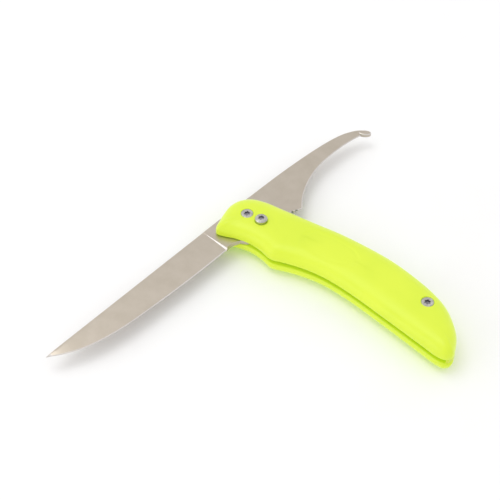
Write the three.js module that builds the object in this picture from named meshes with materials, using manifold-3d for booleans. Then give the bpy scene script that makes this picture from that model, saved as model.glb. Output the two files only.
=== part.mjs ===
// Double-ended swing-blade pocket knife, shown half open and lying flat.
// One steel carries a fillet blade on one end and a hooked gutting blade on the other. It turns on a
// pivot between two moulded scales, and a push button holds it with either blade straight out.
// Units are millimetres, +Z is up. The origin is on the pivot axis, on the flat face the knife lies on.
// +X runs along the handle to the butt, -Y along the fillet blade and +Y along the gutting blade.
import * as THREE from 'three';
import { mergeVertices } from 'three/addons/utils/BufferGeometryUtils.js';
import Module from 'manifold-3d';

const wasm = await Module();
wasm.setup();

// ---- driving dimensions ----
const GAP = 0.3;                     // clearance between neighbouring pieces
const HANDLE_THICK = 16;             // over both scales
const MID = HANDLE_THICK / 2;        // height of the blade's middle plane
const SLOT_GAP = 2.8;                // between the two scales' inner faces
const SCALE_ROUND = 6.2;             // edge rounding of a scale, up and across
const HEAD_ROUND = 8;                // the same across, at the head
const HEAD_ROUND_END = 24;           // where the head's softer rounding has faded out
const STEEL_THICK = 2.2;
const LINER_THICK = 1.2;
const LINER_INSET = 3.2;             // from the handle's outline
const WASHER_THICK = 0.5;
const WASHER_RADIUS = 4.9;
const BARREL_RADIUS = 2.5;           // pivot and rear barrel nuts
const BARREL_FLANGE = 4;
const BARREL_FLANGE_THICK = 1.6;
const SCREW_HEAD_RADIUS = 2.8;
const SCREW_HEAD_THICK = 2.2;
const SCREW_SHANK_RADIUS = 1.3;
const REAR_SINK = 0.35;              // the rear screw sits lower, where the scale's edge starts to round
const LOBE_RADIUS = 1.3;             // six-lobe driver recess
const LOBE_DEPTH = 1.2;
const REAR = new THREE.Vector2(92.8, 14.6);      // rear fastener
const BUTTON = new THREE.Vector2(7.8, 1.1);      // lock button
const BUTTON_RADIUS = 2.85;
const BUTTON_PROUD = 1.7;            // above the upper scale
const PRESS_TRAVEL = 1.4;            // button travel below its resting height
const PIN_RADIUS = 1.3;              // lock pin where it passes the steel
const COLLAR_RADIUS = 2.6;           // lock pin's collar, which fills the lock holes
const COLLAR_THICK = 1.4;
const COLLAR_ROOM = 0.4;             // round the collar and the pin, which slide
const HUB_RADIUS = 11.3;
const SWING_MAX = 94.5;              // degrees: fillet blade folded, gutting blade locked out
const SWING_MIN = SWING_MAX - 180;   // gutting blade folded, fillet blade locked out
const NUB_CENTRE = new THREE.Vector2(-0.9, 85.2);
const NUB_LENGTH = 6.2;
const NUB_WIDTH = 3.2;
const NUB_TILT = 38;                 // degrees from +X
const DOWEL = new THREE.Vector2(101.5, 11.8);
const DOWEL_RADIUS = 1;
const FINE = 36;                     // sides of a round that shows or turns

// heights worked out from the stack
const SLOT_TOP = MID + SLOT_GAP / 2;
const STEEL_TOP = MID + STEEL_THICK / 2;
const WASHER_Z = STEEL_TOP + GAP;
const LINER_Z = WASHER_Z + WASHER_THICK + GAP;
const POCKET_Z = LINER_Z + LINER_THICK + GAP;    // end of the liner pocket in a scale
const BARREL_BOTTOM = 2.4;
const BARREL_TOP = POCKET_Z + 0.6;
const HEAD_Z = HANDLE_THICK - SCREW_HEAD_THICK - 0.1;
const COLLAR_TOP = MID - STEEL_THICK / 2 - GAP - 0.05;
const COLLAR_BOTTOM = COLLAR_TOP - COLLAR_THICK;
const BUTTON_Z = LINER_Z + LINER_THICK + PRESS_TRAVEL + GAP;
const PIN_TOP = BUTTON_Z + 1.8;
const SPRING_RADIUS = 1.9;
const SPRING_WIRE = 0.5;
const SEAT_Z = 1.4;
const SEAT_THICK = 0.5;
const LOCK_RADIUS = BUTTON.length();
const LOCK_ANGLE = Math.atan2(BUTTON.y, BUTTON.x);

const deg = THREE.MathUtils.degToRad;
const v2 = (x, y) => new THREE.Vector2(x, y);

// ---- outlines ----

// Handle outline at its widest, counter-clockwise from the head's lower corner.
const HANDLE_KNOTS = [
  v2(-5.2, -14.7), v2(-2.6, -13.9), v2(3, -11), v2(9.5, -9), v2(16.5, -8.7), v2(23, -9.5), v2(29, -7),
  v2(37, -3.9), v2(47, -1.5), v2(60, -0.6), v2(82, -1.2), v2(103, -2.1), v2(111.5, -2.4),
  v2(115.3, -1.4), v2(117, 1.2), v2(115.8, 4.8), v2(112, 10.7), v2(105.7, 16.2), v2(99, 20.2),
  v2(90, 22.9), v2(78, 24.6), v2(65, 25.2), v2(52, 24.2), v2(38, 22.2), v2(23, 18.8), v2(8, 15.7),
  v2(-1, 13.7), v2(-7.2, 10.6), v2(-10.8, 5.7), v2(-11.6, 0.4), v2(-10.4, -4.8), v2(-8.6, -9.8),
  v2(-7.1, -13.3),
];
const FILLET_SPINE = [v2(-10.8, -17.3), v2(-8.5, -114.3)];
const FILLET_EDGE = [
  v2(4.2, -17.3), v2(4.6, -40), v2(4.3, -62), v2(3.3, -82), v2(0.5, -97), v2(-3.6, -107), v2(-8.05, -113.7),
];
const GUT_SPINE = [
  v2(-11.3, 13), v2(-11.5, 32), v2(-11.1, 49), v2(-10.1, 64), v2(-8.2, 76), v2(-5.4, 83), v2(-3, 85.9),
];
const GUT_HEEL = [v2(9.2, 13), v2(9.5, 20), v2(11.4, 25.2)];
const GUT_EDGE = [
  v2(11.4, 25.2), v2(6, 32), v2(1.4, 41), v2(-1.9, 52), v2(-3, 65), v2(-2.5, 76), v2(-1.2, 83.6),
];
const JIMPING_RADIUS = 0.62;
const JIMPING = [v2(9.65, 18.5), v2(9.85, 20.3), v2(10.45, 22.2)];

function handleOutline(count) {
  const knots = HANDLE_KNOTS.map((p) => new THREE.Vector3(p.x, p.y, 0));
  const curve = new THREE.CatmullRomCurve3(knots, true, 'centripetal');
  return curve.getSpacedPoints(count).slice(0, count).map((p) => v2(p.x, p.y));
}

// Point on the handle's middle line that an outline point is drawn towards when it is inset.
function middleLine(p) {
  const x = THREE.MathUtils.clamp(p.x, 2, 101);
  const run = x - 2;
  return v2(x, 0.5 + 0.33 * run - 0.0025 * run * run);
}

// Outline moved inwards by a distance, or by a function of the point that gives it. The small radii at
// the corners shrink smoothly.
function insetOutline(outline, inset) {
  return outline.map((p, i) => {
    const distance = typeof inset === 'function' ? inset(p) : inset;
    const before = outline[(i + outline.length - 1) % outline.length];
    const after = outline[(i + 1) % outline.length];
    const along = after.clone().sub(before).normalize();
    const inward = v2(-along.y, along.x);
    const draw = middleLine(p).sub(p);
    const share = distance / Math.max(draw.dot(inward), 0.6 * draw.length());
    return p.clone().addScaledVector(draw, Math.min(share, 0.9));
  });
}

function turn(p, degrees) {
  return p.clone().rotateAround(v2(0, 0), deg(degrees));
}

function circlePoints(centre, radius, from, to, steps) {
  const points = [];
  for (let i = 0; i <= steps; i += 1) {
    const a = from + ((to - from) * i) / steps;
    points.push(v2(centre.x + radius * Math.cos(a), centre.y + radius * Math.sin(a)));
  }
  return points;
}

// ---- geometry helpers ----

// Closed body through rings of points. Every ring has the same count and turns the same way.
function loft(rings) {
  const count = rings[0].length;
  const positions = rings.flat().flatMap((p) => [p.x, p.y, p.z]);
  const faces = [];
  for (let r = 0; r + 1 < rings.length; r += 1) {
    for (let i = 0; i < count; i += 1) {
      const j = (i + 1) % count;
      const low = r * count;
      const high = low + count;
      faces.push(low + i, low + j, high + j, low + i, high + j, high + i);
    }
  }
  capFaces(rings[0]).forEach(([a, b, c]) => faces.push(a, c, b));
  const last = (rings.length - 1) * count;
  capFaces(rings[rings.length - 1]).forEach(([a, b, c]) => faces.push(last + a, last + b, last + c));
  const geometry = new THREE.BufferGeometry();
  geometry.setAttribute('position', new THREE.Float32BufferAttribute(positions, 3));
  geometry.setIndex(faces);
  return geometry;
}

// Triangles of a flat ring, found in the plane of the ring.
function capFaces(ring) {
  const origin = ring[0];
  const normal = new THREE.Vector3();
  for (let i = 1; i + 1 < ring.length; i += 1) {
    const a = ring[i].clone().sub(origin);
    const b = ring[i + 1].clone().sub(origin);
    normal.add(a.cross(b));
  }
  normal.normalize();
  const across = ring[Math.floor(ring.length / 3)].clone().sub(origin);
  across.addScaledVector(normal, -across.dot(normal)).normalize();
  const up = normal.clone().cross(across);
  const flat = ring.map((p) => v2(p.clone().sub(origin).dot(across), p.clone().sub(origin).dot(up)));
  return THREE.ShapeUtils.triangulateShape(flat, []);
}

function solid(geometry) {
  const bare = geometry.index ? geometry : geometry.clone();
  bare.deleteAttribute('normal');
  bare.deleteAttribute('uv');
  const merged = mergeVertices(bare, 1e-4);
  return new wasm.Manifold(new wasm.Mesh({
    numProp: 3,
    vertProperties: new Float32Array(merged.attributes.position.array),
    triVerts: new Uint32Array(merged.index.array),
  }));
}

function toGeometry(body) {
  const mesh = body.getMesh();
  const geometry = new THREE.BufferGeometry();
  geometry.setAttribute('position', new THREE.BufferAttribute(new Float32Array(mesh.vertProperties), 3));
  geometry.setIndex(new THREE.BufferAttribute(new Uint32Array(mesh.triVerts), 1));
  geometry.computeVertexNormals();
  return geometry;
}

function prism(points, bottom, top) {
  const shape = new THREE.Shape(points);
  const geometry = new THREE.ExtrudeGeometry(shape, { depth: top - bottom, bevelEnabled: false });
  geometry.translate(0, 0, bottom);
  return solid(geometry);
}

function rod(centre, radius, bottom, top, sides = FINE) {
  const geometry = new THREE.CylinderGeometry(radius, radius, top - bottom, sides);
  geometry.rotateX(Math.PI / 2);
  geometry.translate(centre.x, centre.y, (bottom + top) / 2);
  return solid(geometry);
}

// Turned body from a profile of radius and height pairs that starts and ends on the axis.
function turned(centre, profile, sides = FINE) {
  const geometry = new THREE.LatheGeometry(profile.map(([r, z]) => v2(r, z)), sides);
  geometry.rotateX(Math.PI / 2);
  geometry.translate(centre.x, centre.y, 0);
  return solid(geometry);
}

// Six-lobe driver recess, cut downwards from a head's top.
function lobeRecess(centre, top) {
  const points = [];
  const steps = 36;
  for (let i = 0; i < steps; i += 1) {
    const a = (2 * Math.PI * i) / steps;
    const r = LOBE_RADIUS * (0.88 + 0.12 * Math.cos(6 * a));
    points.push(v2(centre.x + r * Math.cos(a), centre.y + r * Math.sin(a)));
  }
  return prism(points, top - LOBE_DEPTH, top + 1);
}

function piece(name, body, colour, roughness, metalness) {
  const material = new THREE.MeshStandardMaterial({ color: colour, roughness, metalness });
  const mesh = new THREE.Mesh(toGeometry(body), material);
  mesh.name = name;
  return mesh;
}

const steelPiece = (name, body) => piece(name, body, 0xb4b2ae, 0.3, 1);
const mouldedPiece = (name, body) => piece(name, body, 0xe2fa5a, 0.45, 0);

// ---- handle ----

const OUTLINE = handleOutline(100);
const LINER_OUTLINE = insetOutline(handleOutline(60), LINER_INSET);
const LINER_POCKET = insetOutline(handleOutline(60), LINER_INSET - GAP);

// How far across a scale its edge rounding reaches at an outline point.
function roundAcross(p) {
  return THREE.MathUtils.lerp(HEAD_ROUND, SCALE_ROUND, THREE.MathUtils.smoothstep(p.x, 0, HEAD_ROUND_END));
}

// One scale with its outer face up: a lofted shell whose outer edge is rounded, seen as the upper one.
function scaleBlank() {
  const atHeight = (points, z) => points.map((p) => new THREE.Vector3(p.x, p.y, z));
  const rings = [atHeight(OUTLINE, SLOT_TOP), atHeight(OUTLINE, HANDLE_THICK - SCALE_ROUND)];
  const steps = 4;
  for (let i = 1; i <= steps; i += 1) {
    const a = (Math.PI / 2) * (i / steps);
    const ring = insetOutline(OUTLINE, (p) => roundAcross(p) * (1 - Math.cos(a)));
    rings.push(atHeight(ring, HANDLE_THICK - SCALE_ROUND * (1 - Math.sin(a))));
  }
  return solid(loft(rings)).subtract(prism(LINER_POCKET, SLOT_TOP - 1, POCKET_Z));
}

function upperScale() {
  let body = scaleBlank();
  for (const [centre, sink] of [[v2(0, 0), 0], [REAR, REAR_SINK]]) {
    body = body
      .subtract(rod(centre, BARREL_RADIUS + GAP, POCKET_Z - 1, BARREL_TOP + GAP))
      .subtract(rod(centre, SCREW_SHANK_RADIUS + GAP, POCKET_Z, HANDLE_THICK, 24))
      .subtract(rod(centre, SCREW_HEAD_RADIUS + GAP, HEAD_Z - sink - GAP, HANDLE_THICK + 1));
  }
  const buttonHole = rod(BUTTON, BUTTON_RADIUS + GAP, POCKET_Z - 1, HANDLE_THICK + 1);
  return mouldedPiece('upper_scale', body.subtract(buttonHole));
}

// The lower scale mirrors the upper one. Its outer face stays whole, with blind seats inside.
function lowerScale() {
  let body = scaleBlank().mirror([0, 0, 1]).translate([0, 0, HANDLE_THICK]);
  const floor = HANDLE_THICK - POCKET_Z;
  for (const centre of [v2(0, 0), REAR]) {
    body = body.subtract(rod(centre, BARREL_FLANGE + GAP, BARREL_BOTTOM - GAP, floor + 1));
  }
  const springSeatHole = rod(BUTTON, COLLAR_RADIUS + COLLAR_ROOM, SEAT_Z - GAP, floor + 1, 32);
  return mouldedPiece('lower_scale', body.subtract(springSeatHole));
}

function linerBlank(bottom) {
  let body = prism(LINER_OUTLINE, bottom, bottom + LINER_THICK);
  for (const centre of [v2(0, 0), REAR]) {
    body = body.subtract(rod(centre, BARREL_RADIUS + GAP, bottom - 1, bottom + LINER_THICK + 1));
  }
  return body.subtract(rod(DOWEL, DOWEL_RADIUS + GAP, bottom - 1, bottom + LINER_THICK + 1, 20));
}

function upperLiner() {
  const body = linerBlank(LINER_Z);
  return steelPiece('upper_liner', body.subtract(rod(BUTTON, PIN_RADIUS + GAP, LINER_Z - 1, POCKET_Z, 24)));
}

function lowerLiner() {
  const bottom = HANDLE_THICK - LINER_Z - LINER_THICK;
  const body = linerBlank(bottom);
  const collarHole = rod(BUTTON, COLLAR_RADIUS + COLLAR_ROOM, bottom - 1, MID, 32);
  return steelPiece('lower_liner', body.subtract(collarHole));
}

// Everything the steel sweeps near the butt, with clearance: the nub's circle and the folded fillet.
function sweptByBlades(clearance) {
  const nubReach = NUB_CENTRE.length() + NUB_LENGTH / 2;
  const tipReach = FILLET_SPINE[1].length() + clearance;
  const edge = new THREE.SplineCurve(FILLET_EDGE).getPoints(24).slice(12);
  const folded = edge.map((p) => turn(p, SWING_MAX).add(v2(0, clearance)));
  const tipAngle = turn(FILLET_SPINE[1], SWING_MAX).angle() + clearance / tipReach;
  const beyond = circlePoints(v2(0, 0), tipReach, tipAngle, tipAngle - 0.1, 4);
  const path = [v2(60, folded[0].y), ...folded, ...beyond, v2(60, -12)];
  const sector = prism(path.reverse(), 0, HANDLE_THICK);
  return sector.add(rod(v2(0, 0), nubReach - 0.6 + clearance, 0, HANDLE_THICK, 120));
}

// Moulded filler that joins the scales round the butt, behind the swept room.
function buttSpacer() {
  const rim = prism(insetOutline(OUTLINE, 0.2), MID - SLOT_GAP / 2 + GAP, SLOT_TOP - GAP);
  const coreOutline = insetOutline(handleOutline(60), LINER_INSET + 0.4);
  const core = prism(coreOutline, HANDLE_THICK - LINER_Z + GAP, LINER_Z - GAP);
  const body = rim.add(core)
    .subtract(sweptByBlades(0.8))
    .subtract(rod(REAR, BARREL_RADIUS + GAP, 0, HANDLE_THICK))
    .subtract(rod(DOWEL, DOWEL_RADIUS + GAP, 0, HANDLE_THICK, 20));
  return mouldedPiece('butt_spacer', body);
}

function spacerDowel() {
  const bottom = HANDLE_THICK - POCKET_Z + GAP;
  return steelPiece('spacer_dowel', rod(DOWEL, DOWEL_RADIUS, bottom, HANDLE_THICK - bottom, 20));
}

// ---- double-ended steel ----

// Cross-section rings of a ground blade between its spine and its edge.
function bladeRings(spine, edge, spineHalf, edgeHalf) {
  return spine.map((s, i) => {
    const t = i / (spine.length - 1);
    const e = edge[i];
    const land = s.clone().lerp(e, 0.1);
    const thick = THREE.MathUtils.lerp(spineHalf[0], spineHalf[1], t);
    const thin = THREE.MathUtils.lerp(edgeHalf[0], edgeHalf[1], t);
    const at = (p, z) => new THREE.Vector3(p.x, p.y, MID + z);
    return [at(s, -thick), at(land, -thick), at(e, -thin), at(e, thin), at(land, thick), at(s, thick)];
  });
}

function filletBlade() {
  const steps = 26;
  const spine = new THREE.LineCurve(...FILLET_SPINE).getSpacedPoints(steps);
  const edge = new THREE.SplineCurve(FILLET_EDGE).getSpacedPoints(steps);
  return solid(loft(bladeRings(spine, edge, [1.02, 0.7], [0.22, 0.16])));
}

function guttingBlade() {
  const heelSteps = 4;
  const edgeSteps = 24;
  const heel = new THREE.SplineCurve(GUT_HEEL).getSpacedPoints(heelSteps);
  const edge = new THREE.SplineCurve(GUT_EDGE).getSpacedPoints(edgeSteps);
  const spine = new THREE.SplineCurve(GUT_SPINE).getSpacedPoints(heelSteps + edgeSteps);
  const right = [...heel, ...edge.slice(1)];
  const rings = bladeRings(spine, right, [1.06, 1], [1, 0.2]);
  rings.forEach((ring, i) => {
    const half = i <= heelSteps ? 1.05 - (0.8 * i) / heelSteps : 0.25;
    ring[2].z = MID - half;
    ring[3].z = MID + half;
    ring.reverse();
  });
  return solid(loft(rings));
}

// Plate round the pivot that both blades grow from.
function hubPlate() {
  const arc = circlePoints(v2(0, 0), HUB_RADIUS, deg(-62), deg(18), 16);
  const points = [
    v2(-10.85, -17.9), v2(4.2, -17.9), v2(3.7, -15.2), v2(4.1, -12.8), ...arc, v2(9.25, 14),
    v2(-11.3, 14), v2(-11.35, 0),
  ];
  return prism(points, MID - STEEL_THICK / 2, STEEL_TOP);
}

function bluntNub() {
  const tilt = deg(NUB_TILT);
  const points = [];
  const steps = 28;
  for (let i = 0; i < steps; i += 1) {
    const a = (2 * Math.PI * i) / steps;
    const p = v2((NUB_LENGTH / 2) * Math.cos(a), (NUB_WIDTH / 2) * Math.sin(a));
    points.push(p.rotateAround(v2(0, 0), tilt).add(NUB_CENTRE));
  }
  return prism(points, MID - STEEL_THICK / 2, STEEL_TOP);
}

// Slot that the lock pin runs in, with a round lock hole at each end of the swing.
function lockTrack() {
  const from = LOCK_ANGLE - deg(SWING_MAX);
  const to = LOCK_ANGLE - deg(SWING_MIN);
  const half = PIN_RADIUS + COLLAR_ROOM;
  const outer = circlePoints(v2(0, 0), LOCK_RADIUS + half, from, to, 32);
  const inner = circlePoints(v2(0, 0), LOCK_RADIUS - half, to, from, 32);
  let track = prism([...outer, ...inner], 0, HANDLE_THICK);
  for (const a of [from, to]) {
    const centre = v2(LOCK_RADIUS * Math.cos(a), LOCK_RADIUS * Math.sin(a));
    track = track.add(rod(centre, COLLAR_RADIUS + GAP, 0, HANDLE_THICK, 32));
  }
  return track;
}

function doubleBlade() {
  let body = hubPlate().add(filletBlade()).add(guttingBlade()).add(bluntNub());
  body = body.subtract(lockTrack()).subtract(rod(v2(0, 0), BARREL_RADIUS + GAP, 0, HANDLE_THICK));
  for (const notch of JIMPING) {
    body = body.subtract(rod(notch, JIMPING_RADIUS, 0, HANDLE_THICK, 10));
  }
  return steelPiece('double_blade', body);
}

// ---- pivot, rear fastener and lock ----

function washer(name, bottom) {
  const ring = rod(v2(0, 0), WASHER_RADIUS, bottom, bottom + WASHER_THICK)
    .subtract(rod(v2(0, 0), BARREL_RADIUS + GAP, bottom - 1, bottom + 1));
  return piece(name, ring, 0xb88a4a, 0.4, 1);
}

// Barrel nut with a flange that seats inside the lower scale.
function barrel(name, centre) {
  const flangeTop = BARREL_BOTTOM + BARREL_FLANGE_THICK;
  const profile = [
    [0, BARREL_BOTTOM], [BARREL_FLANGE, BARREL_BOTTOM], [BARREL_FLANGE, flangeTop],
    [BARREL_RADIUS, flangeTop], [BARREL_RADIUS, BARREL_TOP], [0, BARREL_TOP],
  ];
  const bore = rod(centre, SCREW_SHANK_RADIUS + GAP, BARREL_BOTTOM + 2.6, BARREL_TOP + 1, 24);
  return steelPiece(name, turned(centre, profile).subtract(bore));
}

// Flush screw with a six-lobe recess, its shank standing in the barrel nut.
function screw(name, centre, sink = 0) {
  const under = HEAD_Z - sink;
  const top = under + SCREW_HEAD_THICK;
  const profile = [
    [0, BARREL_BOTTOM + 3], [SCREW_SHANK_RADIUS, BARREL_BOTTOM + 3], [SCREW_SHANK_RADIUS, under],
    [SCREW_HEAD_RADIUS, under], [SCREW_HEAD_RADIUS, top - 0.3], [SCREW_HEAD_RADIUS - 0.3, top], [0, top],
  ];
  return steelPiece(name, turned(centre, profile).subtract(lobeRecess(centre, top)));
}

// Cap of the lock button, with a chamfered rim and a blind socket for the pin.
function lockButton() {
  const top = HANDLE_THICK + BUTTON_PROUD;
  const profile = [
    [0, BUTTON_Z], [BUTTON_RADIUS, BUTTON_Z], [BUTTON_RADIUS, top - 0.6], [BUTTON_RADIUS - 0.6, top], [0, top],
  ];
  const socket = rod(BUTTON, PIN_RADIUS + GAP, BUTTON_Z - 1, PIN_TOP + GAP, 24);
  return steelPiece('lock_button', turned(BUTTON, profile).subtract(socket).subtract(lobeRecess(BUTTON, top)));
}

function lockPin() {
  const profile = [
    [0, COLLAR_BOTTOM - 0.8], [PIN_RADIUS, COLLAR_BOTTOM - 0.8], [PIN_RADIUS, COLLAR_BOTTOM],
    [COLLAR_RADIUS, COLLAR_BOTTOM], [COLLAR_RADIUS, COLLAR_TOP], [PIN_RADIUS, COLLAR_TOP],
    [PIN_RADIUS, PIN_TOP], [0, PIN_TOP],
  ];
  return steelPiece('lock_pin', turned(BUTTON, profile, 32));
}

class Helix extends THREE.Curve {
  constructor(centre, radius, bottom, top, turns) {
    super();
    Object.assign(this, { centre, radius, bottom, top, turns });
  }

  getPoint(t, target = new THREE.Vector3()) {
    const a = 2 * Math.PI * this.turns * t;
    const z = THREE.MathUtils.lerp(this.bottom, this.top, t);
    return target.set(this.centre.x + this.radius * Math.cos(a), this.centre.y + this.radius * Math.sin(a), z);
  }
}

// Spring that lifts the button, between its seat and the pin's collar.
function lockSpring() {
  const bottom = SEAT_Z + SEAT_THICK + GAP + SPRING_WIRE / 2;
  const top = COLLAR_BOTTOM - GAP - SPRING_WIRE / 2;
  const wire = new THREE.Shape(circlePoints(v2(0, 0), SPRING_WIRE / 2, 0, 2 * Math.PI, 6).slice(0, 6));
  const path = new Helix(BUTTON, SPRING_RADIUS, bottom, top, 3.5);
  const geometry = new THREE.ExtrudeGeometry(wire, { steps: 56, bevelEnabled: false, extrudePath: path });
  return steelPiece('lock_spring', solid(geometry));
}

function springSeat() {
  return steelPiece('spring_seat', rod(BUTTON, COLLAR_RADIUS, SEAT_Z, SEAT_Z + SEAT_THICK, 32));
}

// ---- assembly ----

const knife = new THREE.Group();
knife.add(
  lowerScale(),
  upperScale(),
  lowerLiner(),
  upperLiner(),
  buttSpacer(),
  spacerDowel(),
  barrel('pivot_barrel', v2(0, 0)),
  screw('pivot_screw', v2(0, 0)),
  barrel('rear_barrel', REAR),
  screw('rear_screw', REAR, REAR_SINK),
  washer('upper_washer', WASHER_Z),
  washer('lower_washer', HANDLE_THICK - WASHER_Z - WASHER_THICK),
  springSeat(),
  lockSpring(),
);

const steel = new THREE.Group();
steel.add(doubleBlade());

const button = new THREE.Group();
button.add(lockButton(), lockPin());

knife.add(steel, button);

export default knife;
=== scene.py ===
"""Looks of a half-open swing-blade pocket knife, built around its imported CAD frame.

One steel carries a fillet blade and a hooked gutting blade and turns between two moulded scales.
Shapes are worked out in millimetres and turned to metres when a piece is finished. The origin is on
the pivot axis, on the flat face that the knife lies on. +X runs along the handle to the butt, -Y
along the fillet blade and +Y along the gutting blade.
"""

import logging
import math
from dataclasses import dataclass, field
from enum import Enum
from typing import Callable, Iterable, Sequence

import bmesh
import bpy
from mathutils import Matrix, Vector


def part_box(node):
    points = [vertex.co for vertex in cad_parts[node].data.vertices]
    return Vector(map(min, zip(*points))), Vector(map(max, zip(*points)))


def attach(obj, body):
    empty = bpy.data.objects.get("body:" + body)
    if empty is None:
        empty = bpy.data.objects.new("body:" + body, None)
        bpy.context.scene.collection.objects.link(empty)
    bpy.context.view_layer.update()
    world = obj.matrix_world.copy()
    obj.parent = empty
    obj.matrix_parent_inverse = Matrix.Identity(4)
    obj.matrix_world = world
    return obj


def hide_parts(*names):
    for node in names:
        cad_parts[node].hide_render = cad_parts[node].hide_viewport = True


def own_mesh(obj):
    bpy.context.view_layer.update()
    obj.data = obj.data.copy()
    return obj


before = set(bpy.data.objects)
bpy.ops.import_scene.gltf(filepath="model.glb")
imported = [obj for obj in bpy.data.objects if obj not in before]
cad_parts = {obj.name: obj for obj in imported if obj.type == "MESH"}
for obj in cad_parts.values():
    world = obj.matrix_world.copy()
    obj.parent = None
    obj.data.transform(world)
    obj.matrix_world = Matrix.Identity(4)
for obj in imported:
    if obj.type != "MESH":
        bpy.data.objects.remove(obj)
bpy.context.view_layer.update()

LOG = logging.getLogger("knife")
MM = 0.001
MERGE_DISTANCE = 1e-4
CREASE_ANGLE = math.radians(28)
FACET_ANGLE = math.radians(1.6)      # a grind line between two nearly level faces
LEVEL = 0.85                         # a face whose normal rises this much is nearly level
OVERRUN = 1.0                        # how far a cutting tool stands out of its piece
WAVE_PITCH = math.tau / 20           # between two rings of a wave texture at scale 1

Loop = list[bmesh.types.BMVert]


class Side(Enum):
    """Which half of the handle a scale makes."""

    UPPER = "upper"
    LOWER = "lower"


class Join(Enum):
    """How one closed shape is combined with another."""

    CUT = "DIFFERENCE"
    WELD = "UNION"


class Lay(Enum):
    """Direction of the fine lines that a cutter or a belt leaves on steel."""

    ACROSS = "across"
    ROUND = "round"
    TUMBLED = "tumbled"


# ---- points and curves ----


def spline(knots: Sequence[Vector], closed: bool, steps: int = 20) -> list[Vector]:
    """Runs a smooth curve through knots.

    Args:
        knots: points that the curve passes through.
        closed: True for a centripetal closed curve, False for a uniform open one.
        steps: points made on each span.

    Returns:
        Points along the curve. A closed curve doesn't repeat its first point.
    """
    count = len(knots)
    power = 0.5 if closed else 0.0
    points: list[Vector] = []
    for i in range(count if closed else count - 1):
        if closed:
            p0, p1, p2, p3 = (knots[(i + k) % count] for k in (-1, 0, 1, 2))
        else:
            p0, p1, p2, p3 = (knots[min(max(i + k, 0), count - 1)] for k in (-1, 0, 1, 2))
        d0, d1, d2 = (p1 - p0).length ** power, (p2 - p1).length ** power, (p3 - p2).length ** power
        m1 = ((p1 - p0) / d0 - (p2 - p0) / (d0 + d1) + (p2 - p1) / d1) * d1
        m2 = ((p2 - p1) / d1 - (p3 - p1) / (d1 + d2) + (p3 - p2) / d2) * d1
        for k in range(steps):
            t = k / steps
            a = 2 * t**3 - 3 * t**2 + 1
            b = t**3 - 2 * t**2 + t
            points.append(p1 * a + m1 * b + p2 * (1 - a) + m2 * (t**3 - t**2))
    return points if closed else points + [knots[-1].copy()]


def evenly(points: Sequence[Vector], count: int, closed: bool) -> list[Vector]:
    """Spaces points evenly along a line.

    Args:
        points: the line.
        count: how many points to make.
        closed: True if the line runs on from its last point to its first.

    Returns:
        The evenly spaced points. An open line keeps both its ends.
    """
    line = list(points) + ([points[0]] if closed else [])
    reach = [0.0]
    for before, after in zip(line, line[1:]):
        reach.append(reach[-1] + (after - before).length)
    spans = count if closed else count - 1
    spaced: list[Vector] = []
    span = 0
    for i in range(count):
        goal = reach[-1] * i / spans
        while span < len(line) - 2 and reach[span + 1] < goal:
            span += 1
        share = (goal - reach[span]) / (reach[span + 1] - reach[span])
        spaced.append(line[span].lerp(line[span + 1], min(share, 1.0)))
    return spaced


def flat(pairs: Iterable[tuple[float, float]]) -> list[Vector]:
    """Turns pairs of numbers into 2-D points."""
    return [Vector(pair) for pair in pairs]


def smoothstep(value: float, low: float, high: float) -> float:
    """Rises smoothly from 0 at low to 1 at high."""
    t = min(max((value - low) / (high - low), 0.0), 1.0)
    return t * t * (3 - 2 * t)


def mix(a: float, b: float, share: float) -> float:
    """Gives the value that lies a share of the way from a to b."""
    return a + (b - a) * share


def centre_of(node: str) -> Vector:
    """Gives the plan centre of a CAD node, in millimetres."""
    low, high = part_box(node)
    return ((low + high) / 2 / MM).to_2d()


def top_of(node: str) -> float:
    """Gives the height of a CAD node's top, in millimetres."""
    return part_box(node)[1].z / MM


def radius_of(node: str) -> float:
    """Gives half the width of a round CAD node, in millimetres."""
    low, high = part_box(node)
    return (high.x - low.x) / 2 / MM


# ---- mesh work ----


def loop_edges(loop: Loop) -> list[bmesh.types.BMEdge]:
    """Finds the edges of a closed loop.

    Args:
        loop: the loop's vertices in order.

    Returns:
        The edge from each vertex to the next.
    """
    found = []
    for a, b in zip(loop, loop[1:] + loop[:1]):
        found.append(next(e for e in a.link_edges if e.other_vert(a) is b))
    return found


def first_loop(bm: bmesh.types.BMesh, points: Sequence[Vector]) -> Loop:
    """Starts a shape with a closed loop of edges.

    Args:
        bm: the mesh that is edited.
        points: the 3-D points that the loop runs through.

    Returns:
        The loop's vertices in order.
    """
    loop = bmesh.ops.create_circle(bm, cap_ends=False, segments=len(points), radius=1.0)["verts"]
    for vert, point in zip(loop, points):
        vert.co = point
    return list(loop)


def next_loop(bm: bmesh.types.BMesh, loop: Loop, points: Sequence[Vector]) -> Loop:
    """Extrudes an open rim and moves the new rim.

    Args:
        bm: the mesh that is edited.
        loop: the rim's vertices in order.
        points: where the new rim's vertices go, in the same order.

    Returns:
        The new rim's vertices in order.
    """
    grown = bmesh.ops.extrude_edge_only(bm, edges=loop_edges(loop))["geom"]
    fresh = {g for g in grown if isinstance(g, bmesh.types.BMVert)}
    rim = []
    for vert, point in zip(loop, points):
        twin = next(e.other_vert(vert) for e in vert.link_edges if e.other_vert(vert) in fresh)
        twin.co = point
        rim.append(twin)
    return rim


def skin(loops: Sequence[Sequence[Vector]]) -> bmesh.types.BMesh:
    """Makes a closed body by extruding one loop through all the others.

    Args:
        loops: the loops, all with the same number of 3-D points.

    Returns:
        The body, with a cap at each end.
    """
    bm = bmesh.new()
    loop = first_loop(bm, loops[0])
    bmesh.ops.contextual_create(bm, geom=loop_edges(loop))
    for points in loops[1:]:
        loop = next_loop(bm, loop, points)
    bmesh.ops.contextual_create(bm, geom=loop_edges(loop))
    bmesh.ops.recalc_face_normals(bm, faces=bm.faces)
    return bm


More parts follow.
